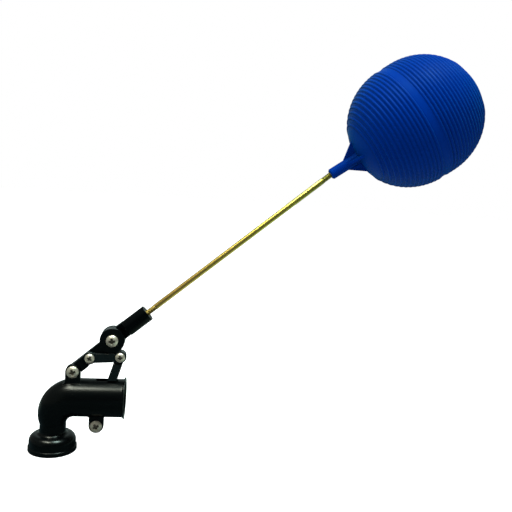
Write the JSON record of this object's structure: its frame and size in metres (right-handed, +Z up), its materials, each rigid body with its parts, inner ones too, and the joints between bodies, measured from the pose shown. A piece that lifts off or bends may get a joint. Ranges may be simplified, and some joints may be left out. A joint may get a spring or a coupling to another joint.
{
  "type": "float valve",
  "caption": "Elbow float valve: ribbed ball float on a rod, with a lever, a link and a rocker that push a piston onto the seat; threaded inlet bell and flared open outlet.",
  "frame": {"origin": "centre of the inlet bell's mouth", "axes": "+Z up the inlet leg, away from the supply pipe; +X along the barrel to the outlet, the side that the float arm reaches to; +Y to the rear, where the nuts are"},
  "size_m": [0.4468, 0.127, 0.4239],
  "materials": {
    "black_plastic": "satin moulded",
    "float_plastic": "satin moulded",
    "screw_steel": "plated",
    "rod_zinc": "yellow zinc plated",
    "brass": "turned",
    "seat_rubber": "moulded"
  },
  "bodies": {
    "housing": {"valve_body": "black_plastic", "lever_pivot_screw": "screw_steel", "lever_pivot_nut": "screw_steel", "rocker_pivot_screw": "screw_steel", "rocker_pivot_nut": "screw_steel"},
    "lever_bar": {"lever": "black_plastic", "hub_screw": "screw_steel", "hub_nut": "screw_steel"},
    "link_plate": {"front_link": "black_plastic", "lever_link_screw": "screw_steel", "lever_link_nut": "screw_steel", "rocker_link_screw": "screw_steel", "rocker_link_nut": "screw_steel"},
    "rocker_bar": {"rocker": "black_plastic"},
    "plunger": {"piston": "black_plastic", "seat_washer": "seat_rubber"},
    "float_arm": {"rod_holder": "black_plastic", "holder_insert": "brass", "float_rod": "rod_zinc", "float_rod_half": "float_plastic", "float_far_half": "float_plastic"}
  },
  "joints": [
    {"name": "lever_pivot", "type": "hinge", "parent": "housing", "child": "lever_bar", "pos_m": [0.01965, 0, 0.0846], "axis": [0, -1, 0], "range_deg": [0, 48]},
    {"name": "link_pivot", "type": "hinge", "parent": "lever_bar", "child": "link_plate", "pos_m": [0.0357, 0, 0.0986], "axis": [0, -1, 0], "range_deg": [-58, 0]},
    {"name": "rocker_pivot", "type": "hinge", "parent": "housing", "child": "rocker_bar", "pos_m": [0.04435, 0, 0.0283], "axis": [0, -1, 0], "range_deg": [0, 11.9]},
    {"name": "piston_slide", "type": "slide", "parent": "housing", "child": "plunger", "axis": [-1, 0, 0], "range_m": [0, 0.0055]},
    {"name": "arm_angle", "type": "hinge", "parent": "lever_bar", "child": "float_arm", "pos_m": [0.05733, 0, 0.11747], "axis": [0, -1, 0], "range_deg": [-45, 45]}
  ],
  "couplings": [
    {"joint": "link_pivot", "follows": "lever_pivot", "ratio": -1.2072},
    {"joint": "rocker_pivot", "follows": "lever_pivot", "ratio": 0.2471},
    {"joint": "piston_slide", "follows": "lever_pivot", "m_per_rad": 0.0065624}
  ]
}
